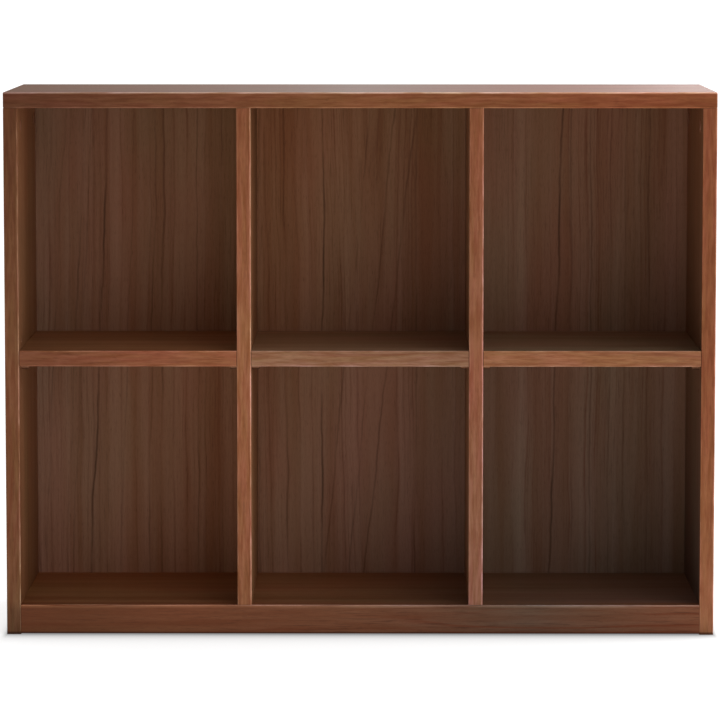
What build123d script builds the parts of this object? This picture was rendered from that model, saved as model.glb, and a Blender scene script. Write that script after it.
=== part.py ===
from build123d import *

import os

# A low bookcase: three bays side by side, each with one adjustable shelf on four pins.
# Millimetres. X runs from left to right, Y from front to back, and Z is up.
# The origin is on the floor, at the middle of the case's width and depth.

# The case
CASE_WIDTH = 900.0
CASE_DEPTH = 300.0
CASE_HEIGHT = 690.0
BAYS = 3
BOARD = 18.0  # thickness of the sides, dividers, bottom panel, plinth and rails
SLAB = 20.0  # thickness of the top and of the shelves
ARRIS = 1.5  # radius that takes the sharpness off every edge that shows

# The bottom panel and what it stands on
FLOOR_LEVEL = 38.0  # upper face of the bottom panel, level with the plinth's upper edge
PLINTH_LIFT = 1.0  # the plinth hangs this far clear of the floor

# The backs, held in grooves
BACK = 6.0  # thickness
BACK_INSET = 18.0  # from the rear of the case to the rear face of a back
GROOVE = 5.0  # depth

# The shelves and their pins
SHELF_UNDERSIDE = 343.0
SHELF_END_GAP = 0.3
SHELF_REAR_GAP = 1.0
PIN_ROW_PITCH = 32.0
PIN_ROWS_EACH_WAY = 2  # rows of holes above the one in use, and below it
PIN_FRONT = 37.0  # from the front of the case to the front column of holes
PIN_COLUMNS_APART = 192.0
PIN_HOLE_RADIUS = 2.5
PIN_HOLE_DEPTH = 8.0
PEG_RADIUS = 2.45
PEG_LENGTH = 7.5
HEAD_RADIUS = 4.5
HEAD_LENGTH = 10.0

# Dowels: the short end goes into the board whose face is met, the long end into the other
DOWEL_RADIUS = 4.0
DOWEL_SHORT = 12.0
DOWEL_LONG = 23.0
DOWEL_TAPER = 0.8
DOWELS_AT = (-50.0, 50.0)  # places along the depth
PLINTH_DOWELS_AT = (-330.0, -110.0, 110.0, 330.0)  # places along the width
RAIL_DOWEL_HEIGHT = 11.0

# Cam fittings: a bolt screwed into one board, and a cam in the other that draws it tight
CAMS_AT = (-100.0, 100.0)  # places along the depth
CAM_RADIUS = 7.5
CAM_DEPTH = 13.0
CAM_RECESS = 0.3  # the cam's face lies this far below the board's face
CAM_SETBACK = 24.0  # from the joint to the cam's centre
CAM_MOUTH = 7.6
CAM_SLOT_LENGTH = 9.0
CAM_SLOT_WIDTH = 1.6
CAM_SLOT_DEPTH = 2.0
BOLT_THREAD_RADIUS = 2.5
BOLT_THREAD_LENGTH = 11.0
BOLT_SHANK_RADIUS = 3.0
BOLT_NECK_RADIUS = 2.0
BOLT_NECK_SPAN = (2.0, 5.0)  # from the cam's centre to the neck's two ends
BOLT_HEAD_RADIUS = 3.4
BOLT_HEAD_BEYOND = 2.5  # the head reaches this far past the cam's centre
BOLT_BORE_RADIUS = 4.0
CAP_RADIUS = 8.5
CAP_THICKNESS = 0.8

# Screws that go up through the bottom panel into the dividers
SCREWS_AT = (-105.0, 105.0)  # places along the depth
SCREW_HEAD_RADIUS = 5.0
SCREW_HEAD_HEIGHT = 3.0
SCREW_SHANK_RADIUS = 3.5
SCREW_THREAD_RADIUS = 2.5
SCREW_LENGTH = 50.0
SCREW_TIP = 4.0
SOCKET_WIDTH = 4.0
SOCKET_DEPTH = 2.4

# Places worked out from the sizes above
LEFT, RIGHT = -CASE_WIDTH / 2, CASE_WIDTH / 2
FRONT, REAR = -CASE_DEPTH / 2, CASE_DEPTH / 2
BAY_WIDTH = (CASE_WIDTH - (BAYS + 1) * BOARD) / BAYS
UPRIGHT_TOP = CASE_HEIGHT - SLAB
BOTTOM_UNDERSIDE = FLOOR_LEVEL - BOARD
BOTTOM_MIDDLE = FLOOR_LEVEL - BOARD / 2
BACK_REAR = REAR - BACK_INSET
BACK_FACE = BACK_REAR - BACK
PIN_HEIGHT = SHELF_UNDERSIDE - PEG_RADIUS
PIN_COLUMNS = (FRONT + PIN_FRONT, FRONT + PIN_FRONT + PIN_COLUMNS_APART)
UPRIGHT_NAMES = ("left_side_panel", "left_divider", "right_divider", "right_side_panel")
BAY_NAMES = ("left", "middle", "right")


def upright_span(number):
    """The X places of an upright's left and right faces, counting uprights from the left."""
    low = LEFT + number * (BOARD + BAY_WIDTH)
    return low, low + BOARD


def bay_span(number):
    """The X places of the two walls of a bay, counting bays from the left."""
    return upright_span(number)[1], upright_span(number + 1)[0]


def middle(span):
    return (span[0] + span[1]) / 2


def block(x_span, y_span, z_span):
    """A box between two places along each axis."""
    spans = (x_span, y_span, z_span)
    sizes = [high - low for low, high in spans]
    return Pos(*[middle(span) for span in spans]) * Box(*sizes)


def rod(radius, start, end):
    """A cylinder from one point to another."""
    run = Vector(*end) - Vector(*start)
    upward = (Align.CENTER, Align.CENTER, Align.MIN)
    return Plane(origin=start, z_dir=run) * Cylinder(radius, run.length, align=upward)


def moved(point, direction, distance):
    return tuple(p + d * distance for p, d in zip(point, direction))


def eased(board, edges):
    """The board with the sharpness taken off the edges given."""
    return fillet(edges, ARRIS)


def front_edges(board, axis):
    """The board's two front edges that run along an axis."""
    return board.edges().filter_by(axis).group_by(Axis.Y)[0]


def overlap(one, other):
    """Whether the boxes around two shapes meet."""
    a, b = one.bounding_box(), other.bounding_box()
    pairs = zip(tuple(a.min), tuple(a.max), tuple(b.min), tuple(b.max))
    return all(a_low < b_high and b_low < a_high for a_low, a_high, b_low, b_high in pairs)


def machined(board, cutters):
    """The board with each hole or groove that reaches it cut away."""
    return board - [cutter for cutter in cutters if overlap(board, cutter)]


# Dowels


def dowel_seats():
    """Each dowel's point on the joint, and the way its long end goes."""
    seats = []
    for number in range(BAYS + 1):
        x = middle(upright_span(number))
        divider = 0 < number < BAYS
        for y in DOWELS_AT:
            seats.append(((x, y, UPRIGHT_TOP), (0, 0, -1)))
            if divider:
                seats.append(((x, y, FLOOR_LEVEL), (0, 0, 1)))
    for x, inward in ((LEFT + BOARD, 1), (RIGHT - BOARD, -1)):
        for y in DOWELS_AT:
            seats.append(((x, y, BOTTOM_MIDDLE), (inward, 0, 0)))
        for y in (FRONT + BOARD / 2, REAR - BOARD / 2):
            seats.append(((x, y, RAIL_DOWEL_HEIGHT), (inward, 0, 0)))
    for x in PLINTH_DOWELS_AT:
        seats.append(((x, FRONT + BOARD, BOTTOM_MIDDLE), (0, 1, 0)))
    return seats


def dowel_hole(seat, way):
    return rod(DOWEL_RADIUS, moved(seat, way, -DOWEL_SHORT), moved(seat, way, DOWEL_LONG))


def dowel(seat, way):
    """A beech dowel with tapered ends."""
    pin = dowel_hole(seat, way)
    return chamfer(pin.edges().filter_by(GeomType.CIRCLE), DOWEL_TAPER)


# Cam fittings. Each is made in a plane with its origin at the cam's centre, its X axis
# pointing at the joint and its Z axis pointing out of the board.


def cam_planes():
    planes = []
    for number in range(BAYS + 1):
        x = middle(upright_span(number))
        # The sides' cams face the bays, and the dividers' cams face the outer bays.
        facing = 1 if number in (0, BAYS - 1) else -1
        for y in CAMS_AT:
            centre = (x, y, UPRIGHT_TOP - CAM_SETBACK)
            planes.append(Plane(origin=centre, x_dir=(0, 0, 1), z_dir=(facing, 0, 0)))
    for x, outward in ((LEFT + BOARD, -1), (RIGHT - BOARD, 1)):
        for y in CAMS_AT:
            centre = (x - outward * CAM_SETBACK, y, BOTTOM_MIDDLE)
            planes.append(Plane(origin=centre, x_dir=(outward, 0, 0), z_dir=(0, 0, -1)))
    return planes


def cam_hole(plane):
    """The round pocket for the cam, and the bore and pilot hole for its bolt."""
    pocket = rod(CAM_RADIUS, (0, 0, BOARD / 2 - CAM_DEPTH), (0, 0, BOARD / 2))
    bore = rod(BOLT_BORE_RADIUS, (0, 0, 0), (CAM_SETBACK, 0, 0))
    pilot_end = (CAM_SETBACK + BOLT_THREAD_LENGTH, 0, 0)
    pilot = rod(BOLT_THREAD_RADIUS, (CAM_SETBACK, 0, 0), pilot_end)
    return [plane * pocket, plane * bore, plane * pilot]


def cam_lock(plane):
    """A round cam with a mouth for the bolt's head and a cross slot to turn it by."""
    face = BOARD / 2 - CAM_RECESS
    half = CAM_MOUTH / 2
    cam = rod(CAM_RADIUS, (0, 0, BOARD / 2 - CAM_DEPTH), (0, 0, face))
    mouth = block((-half, CAM_RADIUS), (-half, half), (-half, half))
    slots = [
        Pos(0, 0, face) * Box(CAM_SLOT_LENGTH, CAM_SLOT_WIDTH, 2 * CAM_SLOT_DEPTH),
        Pos(0, 0, face) * Box(CAM_SLOT_WIDTH, CAM_SLOT_LENGTH, 2 * CAM_SLOT_DEPTH),
    ]
    return plane * (cam - mouth - slots)


def cam_bolt(plane):
    """Thread, shank, neck and head, in line along the plane's X axis."""
    neck_start, neck_end = BOLT_NECK_SPAN
    bolt = rod(BOLT_HEAD_RADIUS, (-BOLT_HEAD_BEYOND, 0, 0), (neck_start, 0, 0))
    bolt += rod(BOLT_NECK_RADIUS, (neck_start, 0, 0), (neck_end, 0, 0))
    bolt += rod(BOLT_SHANK_RADIUS, (neck_end, 0, 0), (CAM_SETBACK, 0, 0))
    thread_end = (CAM_SETBACK + BOLT_THREAD_LENGTH, 0, 0)
    bolt += rod(BOLT_THREAD_RADIUS, (CAM_SETBACK, 0, 0), thread_end)
    return plane * bolt


def cam_cap(plane):
    """A thin disc that hides a cam, with its outer rim rounded over."""
    face = BOARD / 2
    cap = rod(CAP_RADIUS, (0, 0, face), (0, 0, face + CAP_THICKNESS))
    rim = cap.edges().filter_by(GeomType.CIRCLE).sort_by(Axis.Z)[-1]
    return plane * fillet(rim, CAP_THICKNESS / 2)


# Screws


def screw_places():
    dividers = range(1, BAYS)
    return [Pos(middle(upright_span(n)), y, BOTTOM_UNDERSIDE) for n in dividers for y in SCREWS_AT]


def screw_blank():
    """A countersunk screw pointing up, before its socket is cut. Its holes have this shape."""
    upward = (Align.CENTER, Align.CENTER, Align.MIN)
    screw = Cone(SCREW_HEAD_RADIUS, SCREW_SHANK_RADIUS, SCREW_HEAD_HEIGHT, align=upward)
    screw += rod(SCREW_SHANK_RADIUS, (0, 0, SCREW_HEAD_HEIGHT), (0, 0, BOARD))
    screw += rod(SCREW_THREAD_RADIUS, (0, 0, BOARD), (0, 0, SCREW_LENGTH - SCREW_TIP))
    tip = Cone(SCREW_THREAD_RADIUS, SCREW_THREAD_RADIUS / 4, SCREW_TIP, align=upward)
    return screw + Pos(0, 0, SCREW_LENGTH - SCREW_TIP) * tip


def screw():
    socket = extrude(RegularPolygon(SOCKET_WIDTH / 2, 6, major_radius=False), SOCKET_DEPTH)
    return screw_blank() - socket


# Pins


def pin_planes():
    """A plane at each shelf pin's hole in use, by name: X up, and Z out of the wall."""
    planes = {}
    for number, bay in enumerate(BAY_NAMES):
        left_wall, right_wall = bay_span(number)
        for depth, y in zip(("front", "rear"), PIN_COLUMNS):
            for side, x, outward in (("left", left_wall, 1), ("right", right_wall, -1)):
                name = f"{bay}_bay_pin_{depth}_{side}"
                origin = (x, y, PIN_HEIGHT)
                planes[name] = Plane(origin=origin, x_dir=(0, 0, 1), z_dir=(outward, 0, 0))
    return planes


def pin_holes():
    """The holes for every row that the shelves can be set to."""
    rows = range(-PIN_ROWS_EACH_WAY, PIN_ROWS_EACH_WAY + 1)
    hole = rod(PIN_HOLE_RADIUS, (0, 0, -PIN_HOLE_DEPTH), (0, 0, 0))
    planes = pin_planes().values()
    return [plane * Pos(row * PIN_ROW_PITCH, 0, 0) * hole for plane in planes for row in rows]


def shelf_pin(plane):
    """A round peg with a larger head, cut flat on top where the shelf rests on it."""
    peg = rod(PEG_RADIUS, (0, 0, -PEG_LENGTH), (0, 0, 0))
    peg = chamfer(peg.edges().group_by(Axis.Z)[0], PEG_RADIUS / 4)
    head = rod(HEAD_RADIUS, (0, 0, 0), (0, 0, HEAD_LENGTH))
    head = chamfer(head.edges().group_by(Axis.Z)[-1], HEAD_RADIUS / 8)
    reach = 2 * HEAD_RADIUS
    above = block((PEG_RADIUS, reach), (-reach, reach), (-reach, HEAD_LENGTH + reach))
    return plane * (peg + (head - above))


# Boards


def back_groove(x_span, z_span):
    return block(x_span, (BACK_FACE, BACK_REAR), z_span)


def make_top(cutters):
    board = block((LEFT, RIGHT), (FRONT, REAR), (UPRIGHT_TOP, CASE_HEIGHT))
    board = eased(board, board.edges())
    groove_ends = (LEFT + BOARD - GROOVE, RIGHT - BOARD + GROOVE)
    groove = back_groove(groove_ends, (UPRIGHT_TOP, UPRIGHT_TOP + GROOVE))
    return machined(board - groove, cutters)


def make_upright(number, cutters):
    """A side or a divider, with a groove for a back on each face that has a bay."""
    low, high = upright_span(number)
    is_side = number in (0, BAYS)
    foot = 0 if is_side else FLOOR_LEVEL
    board = block((low, high), (FRONT, REAR), (foot, UPRIGHT_TOP))
    board = eased(board, board.edges().filter_by(Axis.Z))
    groove_span = (FLOOR_LEVEL - GROOVE, UPRIGHT_TOP)
    if number > 0:
        board -= back_groove((low, low + GROOVE), groove_span)
    if number < BAYS:
        board -= back_groove((high - GROOVE, high), groove_span)
    return machined(board, cutters)


def make_bottom(cutters):
    inside = (LEFT + BOARD, RIGHT - BOARD)
    board = block(inside, (FRONT + BOARD, REAR), (BOTTOM_UNDERSIDE, FLOOR_LEVEL))
    board -= back_groove(inside, (FLOOR_LEVEL - GROOVE, FLOOR_LEVEL))
    return machined(board, cutters)


def make_plinth(cutters):
    inside = (LEFT + BOARD, RIGHT - BOARD)
    board = block(inside, (FRONT, FRONT + BOARD), (PLINTH_LIFT, FLOOR_LEVEL))
    return machined(eased(board, front_edges(board, Axis.X)), cutters)


def make_rear_rail(cutters):
    inside = (LEFT + BOARD, RIGHT - BOARD)
    return machined(block(inside, (REAR - BOARD, REAR), (0, BOTTOM_UNDERSIDE)), cutters)


def make_batten(number):
    """A batten under a divider, from the plinth to the rear rail."""
    return block(upright_span(number), (FRONT + BOARD, REAR - BOARD), (0, BOTTOM_UNDERSIDE))


def make_back(number):
    low, high = bay_span(number)
    z_span = (FLOOR_LEVEL - GROOVE, UPRIGHT_TOP + GROOVE)
    return back_groove((low - GROOVE, high + GROOVE), z_span)


def make_shelf(number):
    low, high = bay_span(number)
    x_span = (low + SHELF_END_GAP, high - SHELF_END_GAP)
    y_span = (FRONT, BACK_FACE - SHELF_REAR_GAP)
    board = block(x_span, y_span, (SHELF_UNDERSIDE, SHELF_UNDERSIDE + SLAB))
    return eased(board, front_edges(board, Axis.X))


def make_parts():
    """Every sub-part of the bookcase, by name."""
    dowels = dowel_seats()
    cams = cam_planes()
    screws = screw_places()
    cutters = [dowel_hole(seat, way) for seat, way in dowels]
    for plane in cams:
        cutters += cam_hole(plane)
    cutters += [place * screw_blank() for place in screws]
    cutters += pin_holes()

    parts = {
        "top_panel": make_top(cutters),
        "bottom_panel": make_bottom(cutters),
        "front_plinth": make_plinth(cutters),
        "rear_rail": make_rear_rail(cutters),
        "left_batten": make_batten(1),
        "right_batten": make_batten(2),
    }
    for number, name in enumerate(UPRIGHT_NAMES):
        parts[name] = make_upright(number, cutters)
    for number, bay in enumerate(BAY_NAMES):
        parts[f"{bay}_back"] = make_back(number)
        parts[f"{bay}_shelf"] = make_shelf(number)
    for name, plane in pin_planes().items():
        parts[name] = shelf_pin(plane)
    parts["dowels"] = Compound(children=[dowel(seat, way) for seat, way in dowels])
    parts["cam_locks"] = Compound(children=[cam_lock(plane) for plane in cams])
    parts["cam_bolts"] = Compound(children=[cam_bolt(plane) for plane in cams])
    parts["cam_caps"] = Compound(children=[cam_cap(plane) for plane in cams])
    parts["divider_screws"] = Compound(children=[place * screw() for place in screws])
    return parts


os.makedirs("parts", exist_ok=True)
for name, part in make_parts().items():
    part.label = name
    export_step(part, f"parts/{name}.step")
    print(f"{name}: {part.volume / 1000:.1f} cm3")
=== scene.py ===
"""Looks for the low walnut bookcase: veneers, fittings, floor, studio light and camera."""

import bpy
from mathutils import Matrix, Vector


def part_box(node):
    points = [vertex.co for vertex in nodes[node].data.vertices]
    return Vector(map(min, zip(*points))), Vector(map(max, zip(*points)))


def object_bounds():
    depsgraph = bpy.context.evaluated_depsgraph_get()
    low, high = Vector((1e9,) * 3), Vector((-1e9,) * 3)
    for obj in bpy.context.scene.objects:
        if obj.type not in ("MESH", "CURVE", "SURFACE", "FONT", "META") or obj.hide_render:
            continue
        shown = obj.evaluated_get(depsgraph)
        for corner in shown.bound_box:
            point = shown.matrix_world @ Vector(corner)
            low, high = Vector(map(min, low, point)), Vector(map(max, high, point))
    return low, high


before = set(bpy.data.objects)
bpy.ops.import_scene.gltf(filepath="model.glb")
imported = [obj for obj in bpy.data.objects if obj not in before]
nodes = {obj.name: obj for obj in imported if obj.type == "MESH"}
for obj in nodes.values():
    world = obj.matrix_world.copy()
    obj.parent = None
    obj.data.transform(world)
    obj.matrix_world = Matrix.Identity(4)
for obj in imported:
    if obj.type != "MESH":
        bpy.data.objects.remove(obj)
cad_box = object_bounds()
low, high = cad_box

AXES = {"X": 0, "Y": 1, "Z": 2}


# Colours


def srgb(red, green, blue):
    """A linear colour from 0 to 255 display values."""

    def linear(value):
        share = value / 255
        return share / 12.92 if share <= 0.04045 else ((share + 0.055) / 1.055) ** 2.4

    return (linear(red), linear(green), linear(blue), 1.0)


def scaled(colour, factor):
    return tuple(channel * factor for channel in colour[:3]) + (1.0,)


# Shader graphs


class Graph:
    """The nodes of a new material or world. Methods take numbers, colours or nodes' sockets."""

    def __init__(self, owner):
        self.owner = owner
        owner.use_nodes = True
        self.tree = owner.node_tree
        self.tree.nodes.clear()

    def feed(self, socket, value):
        if isinstance(value, bpy.types.NodeSocket):
            self.tree.links.new(value, socket)
        else:
            socket.default_value = value

    def add(self, kind, settings=None, **inputs):
        node = self.tree.nodes.new(kind)
        for key, value in (settings or {}).items():
            setattr(node, key, value)
        for key, value in inputs.items():
            self.feed(node.inputs[key.replace("_", " ")], value)
        return node

    def calc(self, operation, *values):
        node = self.add("ShaderNodeMath", {"operation": operation})
        for socket, value in zip(node.inputs, values):
            self.feed(socket, value)
        return node.outputs[0]

    def remap(self, value, from_low, from_high, to_low, to_high, smooth=False):
        settings = {"interpolation_type": "SMOOTHSTEP" if smooth else "LINEAR", "clamp": True}
        node = self.add("ShaderNodeMapRange", settings)
        spans = (value, from_low, from_high, to_low, to_high)
        for socket, given in zip(node.inputs, spans):
            self.feed(socket, given)
        return node.outputs[0]

    def point(self, x, y, z):
        node = self.add("ShaderNodeCombineXYZ")
        for socket, value in zip(node.inputs, (x, y, z)):
            self.feed(socket, value)
        return node.outputs[0]

    def noise(self, vector, detail=2.0, roughness=0.5):
        inputs = {"Vector": vector, "Scale": 1.0, "Detail": detail, "Roughness": roughness}
        return self.add("ShaderNodeTexNoise", **inputs).outputs[0]

    def mix(self, factor, first, second, blend="MIX"):
        node = self.add("ShaderNodeMix", {"data_type": "RGBA", "blend_type": blend})
        self.feed(node.inputs[0], factor)
        self.feed(node.inputs[6], first)
        self.feed(node.inputs[7], second)
        return node.outputs[2]

    def shade(self, colour, multiplier):
        return self.mix(1.0, colour, multiplier, "MULTIPLY")

    def bump(self, height, distance, strength):
        inputs = {"Height": height, "Distance": distance, "Strength": strength}
        return self.add("ShaderNodeBump", **inputs).outputs[0]

    def end(self, shader, output_kind):
        output = self.add(output_kind)
        self.tree.links.new(shader.outputs[0], output.inputs[0])
        return self.owner

    def finish(self, **inputs):
        """Ends a material with a shader that has these inputs."""
        shader = self.add("ShaderNodeBsdfPrincipled", **inputs)
        return self.end(shader, "ShaderNodeOutputMaterial")


def new_graph(name):
    return Graph(bpy.data.materials.new(name))


# Walnut

WALNUT = (0.262, 0.088, 0.034, 1.0)
STREAK = (0.120, 0.020, 0.002, 1.0)
PORE = (0.030, 0.007, 0.001, 1.0)
ROUGHNESS = 0.45
BUMP_DEPTH = 0.00005

# Tints, by which a colour is multiplied
PLAIN = (1.0, 1.0, 1.0)
WHITE = (1.0, 1.0, 1.0, 1.0)
REDDER = (1.05, 0.96, 0.97, 1.0)
GREENER = (0.96, 1.04, 1.01, 1.0)
DARKER = (0.85, 0.76, 0.66, 1.0)
LIGHTER = (1.15, 1.24, 1.34, 1.0)
OLIVE = (0.96, 1.00, 0.90, 1.0)
PINK = (1.05, 0.99, 1.09, 1.0)
# painted highlight on the arrises and on the uprights' right rims
ARRIS_HIGHLIGHT = (1.9, 2.4, 3.4, 1.0)
FOOT_SHADE = (0.30, 0.26, 0.22, 1.0)
OUTER = (0.70, 0.80, 0.83, 1.0)  # the face of a side or back that is turned away from the bays: a darker tint, painted shade against the strong side light

# Metres that a tone, a painted shade or a painted highlight reaches
EDGE_BAND = 0.0012  # from a board's front, for the tone of its edge band
FOOT_TOP = 0.0040  # above the floor, for the shade at a board's foot
LOW_SHADE_TOP = 0.042  # above the floor, for the painted shade low on an upright's front
LOW_SHADE_FADE = 0.012
RIM_HIGHLIGHT_BAND = 0.0028  # from an upright's right side, for the painted highlight along that rim
TOP_HIGHLIGHT_DEPTH = 0.0030  # from a board's front, for the painted highlight along the top of that front
INNER_FADE = 0.001  # each way from a board's middle, for its inner and outer faces' tints

# Noise that varies a share over a board: features to the metre along the grain and across it, with
# a shift in some; detail; roughness; the values taken; the shares that they become
PATTERNS = {
    "broken": ((6.0, 60.0), 3.0, 0.5, (0.36, 0.60), (0.15, 1.0)),  # gaps in the dark lines
    "dense": ((1.2, 14.0, 3.0), 1.0, 0.5, (0.42, 0.60), (0.1, 1.0)),  # where fine lines crowd
    "drift": (None, 4.0, 0.6, (0.3, 0.7), (0.0, 1.0)),  # broad drifts, spread as the look says
    "blotches": ((24.0, 240.0, 2.0), 3.0, 0.6, (0.35, 0.65), (-0.15, 1.15)),
    "dashes": ((26.0, 600.0), 1.0, 0.5, (0.58, 0.72), (0.0, 1.0)),
    "pores": ((110.0, 2600.0), 1.0, 0.5, (0.58, 0.70), (0.0, 1.0)),
    "hue": ((3.0, 10.0, 7.0), 2.0, 0.5, (0.35, 0.65), (0.0, 1.0)),
    "pinkness": ((16.0, 150.0, 7.0), 2.0, 0.5, (0.35, 0.65), (0.0, 1.0)),
}
# Noise that makes a line stray: features to the metre and a shift; detail; metres either way
STRAYS = {
    "wobble": ((6.0, 9.0), 3.0, 0.007),
    "heart_sideways": ((1.5, 0.0, 5.0), 1.0, 0.012),
    "heart_inwards": ((2.5, 0.0, 9.0), 1.0, 0.012),
    "jag": ((30.0, 0.0, 4.0), 3.0, 0.0016),
}
FIBRES = ((4.0, 210.0), 5.0, 0.7)  # features to the metre, detail and roughness

RING_WIDTH = 0.0026  # metres, as is the next
FINE_WIDTH = 0.0015
FINE_SPACING = 0.4  # of the fine lines between the rings, as a share of the rings' pitch
RING_TONE = 0.22  # how much the tone of the wood differs from ring to ring, either way
RING_RARITY = 1.6  # how few of the rings are dark
# how strong the painted highlight along an upright's right rim is
RIM_HIGHLIGHT_STRENGTH = 0.20
PORE_STRENGTH = 0.30
FIBRE_STRENGTH = (0.15, 0.35)  # at the least, and more where fine lines crowd
SEED_ALONG, SEED_RADIUS = 3.7, 1.3  # metres that each seed moves the noise and the rings


class Walnut:
    """One board's veneer: how its growth rings lie, and its tones."""

    def __init__(self, grain, across, seed, **changes):
        self.grain = grain  # the axis that the grain runs along
        self.across = across  # the axis across the board's face
        self.seed = seed
        self.heart = 0.30  # metres across the face from the board's middle to the tree's heart
        self.depth = 0.30  # metres from the board's face to the heart
        self.taper = 0.0  # metres that the depth grows for each metre along
        self.pitch = 0.018  # metres from one dark ring to the next, on average
        self.streak = 0.60  # darkness of the dark rings
        self.figure = 0.45  # darkness of the fine streaks between them
        self.drift = (1.3, 30.0)  # broad drifts of tone to the metre, along the grain and across it
        self.ior = 1.25
        self.tint = PLAIN
        # Tints at even steps, which paint light and shade over the board together with its own
        # tone:
        # of the front edge along the grain, of the faces along the grain, and of the faces across
        # it
        self.edge = (PLAIN, PLAIN)
        self.face = (PLAIN, PLAIN)
        self.sides = (PLAIN, PLAIN)
        self.foot = 1.0  # brightness of the front edge near the floor, a painted shade
        self.top_highlight = None  # metres that the painted highlight along the front's top reaches down, and its tint
        self.inner = 0  # 1 or -1 if the face tints are only for the face turned that way
        self.roughness = (ROUGHNESS,) * 3  # at the grain's low end, middle and high end
        # Strong streaks: (metres from the board's middle, lean, width, darkness)
        self.marks = ()
        for name, value in changes.items():
            setattr(self, name, value)


class Veneer(Graph):
    """The material of one board, in metres. Its rings and fibres run through the board."""

    def __init__(self, board, look):
        super().__init__(bpy.data.materials.new(f"walnut_{board}"))
        self.look = look
        self.first, self.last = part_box(board)
        self.half = (self.last - self.first) / 2
        self.through = next(axis for axis in AXES if axis not in (look.grain, look.across))
        coordinates = self.add("ShaderNodeTexCoord").outputs
        self.place = self.add("ShaderNodeSeparateXYZ", Vector=coordinates["Object"]).outputs
        self.facing = self.add("ShaderNodeSeparateXYZ", Vector=coordinates["Normal"]).outputs
        self.length = self.centred(look.grain)
        self.width = self.centred(look.across)
        self.deep = self.centred(self.through)
        self.along = self.calc("ADD", self.length, look.seed * SEED_ALONG)
        self.along_share = self.share_of(self.length, look.grain)
        self.behind_front = self.calc("SUBTRACT", self.place["Y"], self.first.y)
        self.on_edge = 0.0
        if self.through != "Y":
            self.on_edge = self.remap(self.behind_front, EDGE_BAND, 1.5 * EDGE_BAND, 1.0, 0.0)
        self.moved = self.calc("ADD", self.width, self.stray("wobble"))
        self.radius = self.from_heart()
        self.broken = self.pattern("broken")
        self.dense = self.pattern("dense")
        self.blotches = self.pattern("blotches")
        self.hue = self.pattern("hue")
        spread, detail, roughness = FIBRES
        self.fibre = self.noise(self.stretched(*spread), detail, roughness)

    # Places on the board

    def centred(self, axis):
        middle = (self.first + self.last) / 2
        return self.calc("SUBTRACT", self.place[axis], middle[AXES[axis]])

    def share_of(self, place, axis):
        """0 at one end or side of the board and 1 at the other."""
        reach = self.half[AXES[axis]]
        return self.remap(place, -reach, reach, 0.0, 1.0)

    def stretched(self, lengthwise, sideways, shift=0.0):
        """A place with this many features to the metre along the grain and across it."""
        return self.point(
            self.calc("MULTIPLY_ADD", self.along, lengthwise, shift),
            self.calc("MULTIPLY", self.width, sideways),
            self.calc("MULTIPLY", self.deep, sideways),
        )

    def pattern(self, name):
        """A share that varies over the board."""
        spread, detail, roughness, taken, given = PATTERNS[name]
        noise = self.noise(self.stretched(*(spread or self.look.drift)), detail, roughness)
        return self.remap(noise, *taken, *given)

    def stray(self, name):
        """Metres that something strays."""
        spread, detail, most = STRAYS[name]
        noise = self.noise(self.stretched(*spread), detail)
        return self.calc("MULTIPLY_ADD", noise, 2 * most, -most)

    def from_heart(self):
        """How far each place lies from the heart, which strays along the board."""
        look = self.look
        side = self.calc("SUBTRACT", self.moved, look.heart)
        side = self.calc("ADD", side, self.stray("heart_sideways"))
        below = self.calc("MULTIPLY_ADD", self.length, look.taper, look.depth)
        below = self.calc("ADD", below, self.deep)
        below = self.calc("ADD", below, self.stray("heart_inwards"))
        squares = self.calc("ADD", self.calc("POWER", side, 2.0), self.calc("POWER", below, 2.0))
        return self.calc("ADD", self.calc("SQRT", squares), look.seed * SEED_RADIUS)

    # Lines

    def rings(self, pitch, line_width):
        """Thin dark lines at uneven places along the radius, and a chance value for each ring."""
        place = self.calc("DIVIDE", self.radius, pitch)
        edge, cell = (
            self.add(
                "ShaderNodeTexVoronoi",
                {"voronoi_dimensions": "1D", "feature": feature},
                W=place,
                Scale=1.0,
            )
            for feature in ("DISTANCE_TO_EDGE", "F1")
        )
        chance = self.add("ShaderNodeSeparateColor", Color=cell.outputs["Color"]).outputs[0]
        distance = edge.outputs["Distance"]
        line = self.remap(distance, 0.0, line_width / pitch, 1.0, 0.0, smooth=True)
        return self.calc("MULTIPLY", line, self.calc("POWER", chance, RING_RARITY)), chance

    def grain_lines(self):
        """How dark the rings and the fine lines between them are, and the rings' chance values."""
        look = self.look
        rings, chance = self.rings(look.pitch, RING_WIDTH)
        fine = self.rings(look.pitch * FINE_SPACING, FINE_WIDTH)[0]
        fine = self.calc("MULTIPLY", fine, self.calc("MULTIPLY", self.dense, look.figure))
        dark = self.calc("MAXIMUM", self.calc("MULTIPLY", rings, look.streak), fine)
        return self.calc("MULTIPLY", dark, self.broken), chance

    def strong_streaks(self):
        """How dark the board's marks are."""
        jag = self.stray("jag")
        dark = 0.0
        for offset, lean, width, darkness in self.look.marks:
            gap = self.calc("ADD", self.calc("SUBTRACT", self.moved, offset), jag)
            gap = self.calc("ABSOLUTE", self.calc("MULTIPLY_ADD", self.length, -lean, gap))
            streak = self.remap(gap, 0.0, width, darkness, 0.0, smooth=True)
            dark = self.calc("MAXIMUM", dark, streak)
        return self.calc("MULTIPLY", dark, self.broken)

    # Tones

    def through_tints(self, share, tints):
        """A tint that changes evenly from each of those given to the next."""
        spans = len(tints) - 1
        tint = tints[0] + (1.0,)
        for number, following in enumerate(tints[1:]):
            reached = self.remap(share, number / spans, (number + 1) / spans, 0.0, 1.0)
            tint = self.mix(reached, tint, following + (1.0,))
        return tint

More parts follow.
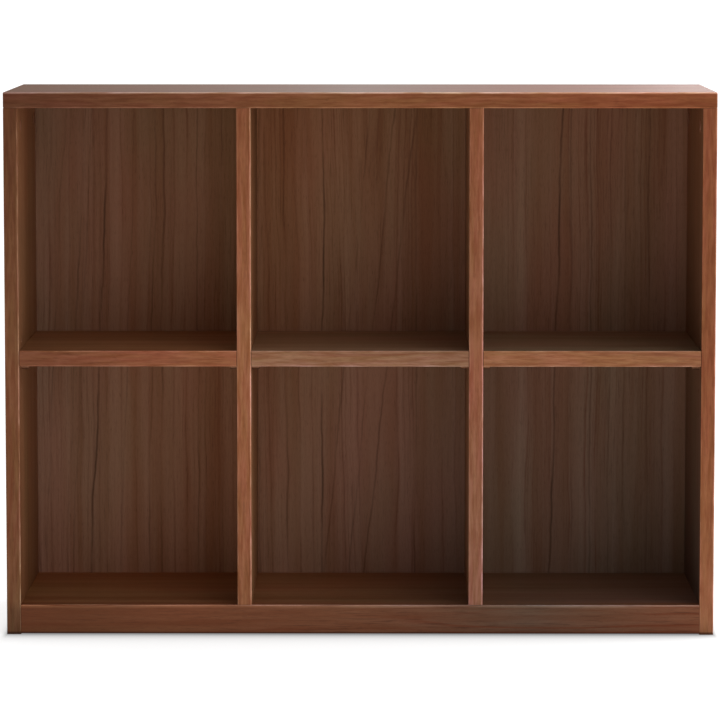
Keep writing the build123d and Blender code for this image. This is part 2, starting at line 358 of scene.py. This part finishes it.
    def plain_wood(self, chance):
        """The board's colour with its drifts of tone, and finer ones on its front edge."""
        drift = self.pattern("drift")
        drift = self.calc("ADD", drift, self.remap(chance, 0.0, 1.0, -RING_TONE, RING_TONE))
        drift = self.remap(self.on_edge, 0.0, 1.0, drift, self.blotches)
        colour = tuple(base * share for base, share in zip(WALNUT, self.look.tint)) + (1.0,)
        colour = self.shade(colour, self.mix(self.hue, GREENER, REDDER))
        colour = self.shade(colour, self.mix(drift, DARKER, LIGHTER))
        blush = self.mix(self.pattern("pinkness"), OLIVE, PINK)
        return self.shade(colour, self.mix(self.on_edge, WHITE, blush))

    def face_tint(self):
        """The faces' tint, which paints light and shade over them together with the wood's own
        tone. On a board with an inner face, the outer and the rear have their own darker tint, a
        painted shade.
        """
        look = self.look
        tint = self.through_tints(self.along_share, look.face)
        width_share = self.share_of(self.width, look.across)
        tint = self.shade(tint, self.through_tints(width_share, look.sides))
        if look.inner:
            inwards = self.calc("MULTIPLY", self.deep, look.inner)
            inner = self.remap(inwards, -INNER_FADE, INNER_FADE, 0.0, 1.0)
            rear = self.last.y - EDGE_BAND
            off_rear = self.remap(self.place["Y"], rear - EDGE_BAND, rear, 1.0, 0.0)
            tint = self.mix(self.calc("MULTIPLY", inner, off_rear), OUTER, tint)
        return tint

    def edge_tint(self):
        """The front edge's tint, which paints light and shade along it together with the wood's own
        tone. An upright's has painted shade low at the foot and a painted highlight along its right
        rim.
        """
        look = self.look
        tint = self.through_tints(self.along_share, look.edge)
        if look.grain == "Z" and self.through == "X":
            # painted shade low on an upright's front, near the floor
            fade_from = LOW_SHADE_TOP - LOW_SHADE_FADE
            foot = self.remap(self.place["Z"], fade_from, LOW_SHADE_TOP, look.foot, 1.0)
            tint = self.shade(tint, self.point(foot, foot, foot))
            # painted highlight along the right rim, the side the light comes from
            to_side = self.calc("SUBTRACT", self.half.x, self.deep)
            rim_highlight = self.remap(to_side, 0.4 * RIM_HIGHLIGHT_BAND, RIM_HIGHLIGHT_BAND, RIM_HIGHLIGHT_STRENGTH, 0.0)
            rim_highlight = self.calc("MULTIPLY", rim_highlight, self.remap(self.blotches, 0.0, 1.0, 0.4, 1.0))
            tint = self.shade(tint, self.mix(rim_highlight, WHITE, ARRIS_HIGHLIGHT))
        return tint

    def top_highlight_share(self, band):
        """How far each place belongs to the painted highlight along the front's top, which is this
        many metres high.
        """
        top = self.last.z
        top_highlight = self.remap(self.place["Z"], top - band, top - band / 2, 0.0, 1.0)
        top_highlight = self.calc("MULTIPLY", top_highlight, self.remap(self.hue, 0.0, 1.0, 0.7, 1.0))
        front = self.remap(self.behind_front, TOP_HIGHLIGHT_DEPTH / 2, TOP_HIGHLIGHT_DEPTH, 1.0, 0.0)
        return self.calc("MULTIPLY", top_highlight, front)

    def arris_highlight(self):
        """How strongly each place carries the arrises' painted highlight. Only arrises do, which
        face along no axis.
        """
        square_on = 0.0
        for axis in AXES:
            square_on = self.calc("MAXIMUM", square_on, self.calc("ABSOLUTE", self.facing[axis]))
        highlight = self.calc("SUBTRACT", 1.0, self.remap(square_on, 0.97, 0.997, 0.0, 1.0))
        # painted highlight: strongest on arrises facing right, where the light falls
        highlight = self.calc("MULTIPLY", highlight, self.remap(self.facing["X"], -0.4, 0.4, 0.35, 1.0))
        return self.calc("MULTIPLY", highlight, self.remap(self.blotches, 0.0, 1.0, 0.55, 1.0))

    def gloss(self):
        """Roughness, which changes along the board and a little from fibre to fibre."""
        start, halfway, end = self.look.roughness
        gloss = self.remap(self.along_share, 0.0, 0.5, start, halfway)
        gloss = self.calc("ADD", gloss, self.remap(self.along_share, 0.5, 1.0, 0.0, end - halfway))
        return self.calc("ADD", gloss, self.remap(self.fibre, 0.3, 0.7, -0.05, 0.06))

    def complete(self):
        look = self.look
        dark, chance = self.grain_lines()
        colour = self.plain_wood(chance)
        # painted light and shade over the faces and the front edge, with the wood's own tone
        colour = self.shade(colour, self.mix(self.on_edge, self.face_tint(), self.edge_tint()))
        # painted highlight along the top of the front, where its arris catches the light
        if look.top_highlight:
            band, top_highlight_tint = look.top_highlight
            top_highlight = self.mix(self.top_highlight_share(band), WHITE, top_highlight_tint + (1.0,))
            colour = self.shade(colour, top_highlight)
        # painted highlight on the arrises
        colour = self.shade(colour, self.mix(self.arris_highlight(), WHITE, ARRIS_HIGHLIGHT))
        off_foot = self.remap(self.place["Z"], 0.5 * FOOT_TOP, FOOT_TOP, 0.0, 1.0)
        colour = self.shade(colour, self.mix(off_foot, FOOT_SHADE, WHITE))

        least, more = (strength * look.figure for strength in FIBRE_STRENGTH)
        busy = self.calc("MULTIPLY_ADD", self.dense, more, least)
        fibres = self.calc("MULTIPLY", self.remap(self.fibre, 0.35, 0.7, 0.0, 1.0), busy)
        colour = self.mix(fibres, colour, STREAK)
        colour = self.mix(dark, colour, STREAK)
        colour = self.mix(self.strong_streaks(), colour, PORE)
        dashes = self.calc("MULTIPLY", self.pattern("dashes"), busy)
        colour = self.mix(dashes, colour, PORE)
        pores = self.pattern("pores")
        colour = self.mix(self.calc("MULTIPLY", pores, PORE_STRENGTH), colour, PORE)

        height = self.calc("SUBTRACT", self.calc("MULTIPLY", self.fibre, 0.3), pores)
        normal = self.bump(height, BUMP_DEPTH, 0.5)
        return self.finish(Base_Color=colour, Roughness=self.gloss(), IOR=look.ior, Normal=normal)


def even(*values):
    """Plain grey tints of these brightnesses."""
    return tuple((value, value, value) for value in values)


# The tints of each board paint light and shade over it, brighter where the studio light falls and
# darker where it doesn't, together with the wood's own tone. The shade low on the uprights and the
# highlight along a front's top are painted too.
BOARDS = {
    "top_panel": Walnut(
        "X", "Y", 1, roughness=(0.62, 0.33, 0.50), tint=(1.0, 1.02, 1.04),
        top_highlight=(0.0026, (2.3, 3.6, 5.8)),
        edge=((0.37, 0.34, 0.34), (0.78, 0.76, 0.66), (0.80, 0.68, 0.52)),
        face=(
            (0.48, 0.54, 0.46), (0.55, 0.62, 0.54), (0.56, 0.62, 0.55), (0.72, 0.68, 0.70),
            (0.78, 0.66, 0.70),
        ),
    ),
    "left_side_panel": Walnut(
        "Z", "Y", 2, inner=1, tint=(1.0, 1.12, 1.12), foot=0.74,
        edge=((0.61, 0.66, 0.68), (0.63, 0.69, 0.63), (0.37, 0.31, 0.24)),
        face=(
            (0.75, 0.80, 0.78), (0.88, 0.98, 0.98), (1.15, 1.24, 1.32), (1.0, 1.10, 1.18),
            (1.32, 1.33, 1.35),
        ),
        sides=((0.85, 0.9, 1.0), (1.15, 1.15, 1.15)),
    ),
    "left_divider": Walnut(
        "Z", "Y", 3, tint=(1.0, 1.08, 1.20), foot=0.88,
        edge=((1.02, 0.95, 0.94), (1.24, 1.18, 1.16), (0.81, 0.70, 0.60)),
        face=((1.0, 1.2, 1.2),) * 2,
    ),
    "right_divider": Walnut(
        "Z", "Y", 4, tint=(1.0, 1.10, 1.30), foot=0.58,
        edge=((0.97, 1.02, 1.30), (0.99, 0.96, 0.98), (0.88, 0.78, 0.66)),
        face=((1.0, 1.2, 1.2),) * 2,
    ),
    "right_side_panel": Walnut(
        "Z", "Y", 5, inner=-1, tint=(1.0, 0.90, 0.90), foot=0.97,
        edge=((1.08, 1.45, 1.50), (0.87, 0.88, 0.76), (0.88, 0.82, 0.80)),
        face=((0.30, 0.62, 1.05), (0.70, 1.06, 1.20), (1.04, 1.30, 1.22)),
        sides=((0.75, 0.8, 1.0), (1.25, 1.3, 1.4)),
    ),
    "bottom_panel": Walnut(
        "X", "Y", 6,
        face=(
            (1.12, 1.15, 0.90), (1.27, 1.32, 1.18), (1.03, 1.18, 1.15), (0.73, 1.03, 1.40),
            (0.84, 1.18, 1.75),
        ),
        sides=((0.60, 0.72, 0.90), (1.5, 1.6, 1.7)),
    ),
    "front_plinth": Walnut(
        "X", "Z", 7, heart=0.0, depth=0.03, pitch=0.011, streak=1.0, figure=1.0, drift=(6.0, 110.0),
        top_highlight=(0.0044, (1.8, 2.3, 3.0)),
        face=(
            (0.51, 0.45, 0.37), (0.67, 0.64, 0.64), (0.66, 0.73, 0.85), (0.40, 0.65, 0.99),
            (0.74, 0.82, 0.98),
        ),
    ),
    "left_back": Walnut(
        "Z", "X", 8, inner=-1, ior=1.15, depth=0.05, face=((1.58, 2.42, 4.0), (1.23, 1.90, 2.85)),
        sides=((1.05, 1.05, 1.05), (0.98, 0.83, 0.64)),
        marks=(
            (-0.114, 0.050, 0.0022, 0.31), (-0.086, 0.045, 0.0020, 0.35),
            (-0.077, 0.045, 0.0016, 0.28), (-0.0535, 0.040, 0.0024, 0.63),
            (-0.017, 0.035, 0.0019, 0.28), (0.016, 0.02, 0.0019, 0.35),
            (0.029, 0.01, 0.0022, 0.43), (0.076, 0.0, 0.0020, 0.35), (0.109, 0.0, 0.0019, 0.31),
        ),
    ),
    "middle_back": Walnut(
        "Z", "X", 9, inner=-1, ior=1.15, heart=0.02, depth=0.03, taper=-0.03,
        face=((1.24, 2.0, 3.45), (1.35, 1.78, 2.18)), sides=((1.15, 1.10, 1.0), (0.93, 0.95, 1.0)),
        marks=(
            (-0.136, 0.0, 0.0020, 0.35), (-0.1007, -0.012, 0.0020, 0.43),
            (-0.052, 0.0, 0.0024, 0.68), (-0.018, 0.10, 0.0019, 0.31),
            (0.014, 0.10, 0.0019, 0.31), (0.038, 0.11, 0.0022, 0.39), (0.072, 0.0, 0.0019, 0.35),
        ),
    ),
    "right_back": Walnut(
        "Z", "X", 10, inner=-1, ior=1.15, heart=-0.3, depth=0.05,
        face=((0.87, 1.62, 2.85), (1.26, 1.72, 2.4)),
        marks=(
            (-0.035, 0.03, 0.0024, 0.72), (-0.015, 0.0, 0.0020, 0.35), (0.011, 0.0, 0.0022, 0.39),
            (0.037, 0.0, 0.0017, 0.28), (0.0566, 0.0, 0.0019, 0.31), (0.088, 0.0, 0.0019, 0.31),
        ),
    ),
    "left_shelf": Walnut(
        "X", "Y", 11, tint=(1.0, 1.04, 1.12), edge=even(0.67, 1.09),
        face=((1.08, 1.15, 1.05), (1.50, 1.58, 1.55)), sides=((0.70, 0.85, 0.95), (1.35, 1.5, 1.5)),
    ),
    "middle_shelf": Walnut(
        "X", "Y", 12, tint=(1.0, 1.34, 1.78), edge=even(1.05, 0.92),
        face=((1.17, 1.15, 0.92), (1.06, 1.06, 0.93)), sides=((0.70, 0.88, 1.15), (1.35, 1.6, 1.9)),
    ),
    "right_shelf": Walnut(
        "X", "Y", 13, tint=(1.0, 1.10, 1.22), edge=even(1.13, 1.12),
        face=((1.05, 1.42, 1.58), (1.08, 1.43, 1.58)), sides=((0.55, 0.72, 0.90), (1.35, 1.6, 1.9)),
    ),
    "rear_rail": Walnut("X", "Z", 14, tint=(0.72, 0.82, 0.84)),
    "left_batten": Walnut("Y", "X", 15),
    "right_batten": Walnut("Y", "X", 16),
}


# Fittings


def speckle(graph, per_metre, detail, roughness=0.5):
    """Noise with this many specks to the metre."""
    place = graph.add("ShaderNodeTexCoord").outputs["Object"]
    scale = graph.add(
        "ShaderNodeVectorMath", {"operation": "SCALE"}, Vector=place, Scale=per_metre
    )
    return graph.noise(scale.outputs[0], detail, roughness)


def metal(name, colour, roughness, grain_size):
    """Plated or cast metal, with a fine unevenness in its gloss and surface."""
    graph = new_graph(name)
    grains = speckle(graph, 1 / grain_size, 3.0, 0.6)
    tone = graph.mix(graph.remap(grains, 0.3, 0.7, 0.0, 1.0), colour, scaled(colour, 0.82))
    gloss = graph.remap(grains, 0.3, 0.7, roughness - 0.06, roughness + 0.08)
    normal = graph.bump(grains, grain_size / 20, 0.4)
    return graph.finish(Base_Color=tone, Metallic=1.0, Roughness=gloss, Normal=normal)


def moulded_plastic(name, colour):
    """Plastic with the fine matt texture of its mould."""
    graph = new_graph(name)
    texture = speckle(graph, 2500.0, 2.0)
    tone = graph.mix(texture, colour, scaled(colour, 0.75))
    normal = graph.bump(texture, 0.00003, 0.5)
    return graph.finish(Base_Color=tone, Roughness=0.5, Normal=normal)


def beech(name):
    """Pale beech with short darker flecks."""
    graph = new_graph(name)
    flecks = graph.remap(speckle(graph, 900.0, 2.0), 0.55, 0.7, 0.0, 1.0)
    tone = graph.mix(flecks, srgb(214, 178, 134), srgb(176, 132, 90))
    return graph.finish(Base_Color=tone, Roughness=0.6)


def paint(node, material):
    slots = nodes[node].data.materials
    slots.clear()
    slots.append(material)


def dress():
    """Gives every CAD node its material."""
    for board, look in BOARDS.items():
        paint(board, Veneer(board, look).complete())
    bronze = metal("bronze_plate", srgb(140, 98, 74), 0.5, 0.0006)
    zinc_plate = metal("zinc_plate", srgb(186, 188, 190), 0.34, 0.0005)
    cast_zinc = metal("cast_zinc", srgb(168, 168, 166), 0.48, 0.0008)
    brown = moulded_plastic("brown_plastic", srgb(146, 92, 62))
    for node in nodes:
        if "_pin_" in node:
            paint(node, bronze)
    paint("cam_bolts", zinc_plate)
    paint("divider_screws", zinc_plate)
    paint("cam_locks", cast_zinc)
    paint("cam_caps", brown)
    paint("dowels", beech("beech"))


# Floor, light and camera

CAMERA_PLACE = Vector((0.032, -5.462, 0.880))
CAMERA_AIM = Vector((0.0, low.y, 0.3515))
CAMERA_LENS = 210.8
CAMERA_SENSOR = 36.0
CAMERA_REACH = 200.0
FLOOR_REACH = 60.0

FLOOR_GREY = 165
FLOOR_GLOW = 0.78
SHADOW_DARKNESS = 0.66
SHADOW_REACH = 0.024  # metres of floor in front over which the contact shadow falls to a third
SHADOW_NARROWING = 6.0  # how much shorter the shadow is at the sides and behind

# Brightness of the surroundings towards each side, and of the band at the horizon
SKY = {"X": 2.2, "Y": 0.95, "Z": 0.63}
HORIZON = 1.0
HORIZON_TOP = 0.08  # sine of the height that the band fades from

# name: (place, aim, width, height, watts)
LIGHTS = {
    "low_right": ((1.2, -1.2, 0.25), (0.2, 0.0, 0.35), 0.8, 0.4, 1.4),
    "front": ((0.3, -1.8, 1.3), (0.1, 0.0, 0.35), 1.2, 0.8, 0.6),
    "rear_right": ((1.0, 1.4, 1.2), (0.2, 0.0, 0.69), 1.2, 0.8, 10.0),
    "over_right": ((0.9, 0.0, 1.7), (0.3, 0.0, 0.6), 0.6, 0.6, 8.0),
}


def add_object(name, data):
    thing = bpy.data.objects.new(name, data)
    bpy.context.scene.collection.objects.link(thing)
    return thing


def place_and_aim(thing, place, aim):
    """Puts a light or camera at its place and turns it towards its aim."""
    thing.location = place
    thing.rotation_mode = "QUATERNION"
    thing.rotation_quaternion = (Vector(aim) - Vector(place)).to_track_quat("-Z", "Y")


def add_floor():
    """A pale floor that glows, with the case's contact shadow in its colour."""
    mesh = bpy.data.meshes.new("floor")
    reach = FLOOR_REACH
    corners = [(-reach, -reach, 0), (reach, -reach, 0), (reach, reach, 0), (-reach, reach, 0)]
    mesh.from_pydata(corners, [], [(0, 1, 2, 3)])
    graph = new_graph("pale_floor")
    place = graph.add("ShaderNodeTexCoord").outputs["Object"]
    parts = graph.add("ShaderNodeSeparateXYZ", Vector=place).outputs
    squares = 0.0
    for axis in (0, 1):
        before = graph.calc("MAXIMUM", graph.calc("SUBTRACT", low[axis], parts[axis]), 0.0)
        after = graph.calc("MAXIMUM", graph.calc("SUBTRACT", parts[axis], high[axis]), 0.0)
        if axis == 0:
            before = graph.calc("MULTIPLY", before, SHADOW_NARROWING)
        gap = graph.calc("MULTIPLY_ADD", after, SHADOW_NARROWING, before)
        squares = graph.calc("MULTIPLY_ADD", gap, gap, squares)
    fall = graph.calc("DIVIDE", graph.calc("SQRT", squares), -SHADOW_REACH)
    lit = graph.calc("MULTIPLY_ADD", graph.calc("EXPONENT", fall), -SHADOW_DARKNESS, 1.0)
    shadow = graph.add("ShaderNodeCombineColor", Red=lit, Green=lit, Blue=lit).outputs[0]
    pale = graph.shade(srgb(FLOOR_GREY, FLOOR_GREY, FLOOR_GREY), shadow)
    glow = {"Emission_Color": shadow, "Emission_Strength": FLOOR_GLOW}
    mesh.materials.append(graph.finish(Base_Color=pale, Roughness=0.9, **glow))
    add_object("floor", mesh)


def add_light(name, place, aim, width, height, watts):
    data = bpy.data.lights.new(name, "AREA")
    data.shape = "RECTANGLE"
    data.size, data.size_y = width, height
    data.energy = watts
    light = add_object(name, data)
    light.visible_camera = False
    place_and_aim(light, place, aim)


def add_world():
    """Pale surroundings, brightest on the right, with an even white band at the horizon."""
    graph = Graph(bpy.data.worlds.new("studio"))
    direction = graph.add("ShaderNodeTexCoord").outputs["Generated"]
    parts = graph.add("ShaderNodeSeparateXYZ", Vector=direction).outputs
    strength = 0.0
    for axis, brightness in SKY.items():
        towards = graph.calc("MAXIMUM", parts[axis], 0.0)
        strength = graph.calc("MULTIPLY_ADD", towards, brightness, strength)
    fade = graph.calc("DIVIDE", graph.calc("SUBTRACT", parts["Z"], HORIZON_TOP), HORIZON_TOP)
    fade = graph.calc("MINIMUM", graph.calc("MAXIMUM", fade, 0.0), 1.0)
    band = graph.calc("MULTIPLY", graph.calc("SUBTRACT", 1.0, fade), HORIZON)
    strength = graph.calc("MAXIMUM", strength, band)
    background = graph.add("ShaderNodeBackground", Strength=strength)
    bpy.context.scene.world = graph.end(background, "ShaderNodeOutputWorld")


def add_camera():
    data = bpy.data.cameras.new("camera")
    data.lens = CAMERA_LENS
    data.sensor_width = CAMERA_SENSOR
    data.clip_end = CAMERA_REACH
    camera = add_object("camera", data)
    place_and_aim(camera, CAMERA_PLACE, CAMERA_AIM)
    bpy.context.scene.camera = camera


dress()
add_floor()
for light_name, light in LIGHTS.items():
    add_light(light_name, *light)
add_world()
add_camera()
bpy.context.scene.view_settings.view_transform = "Standard"
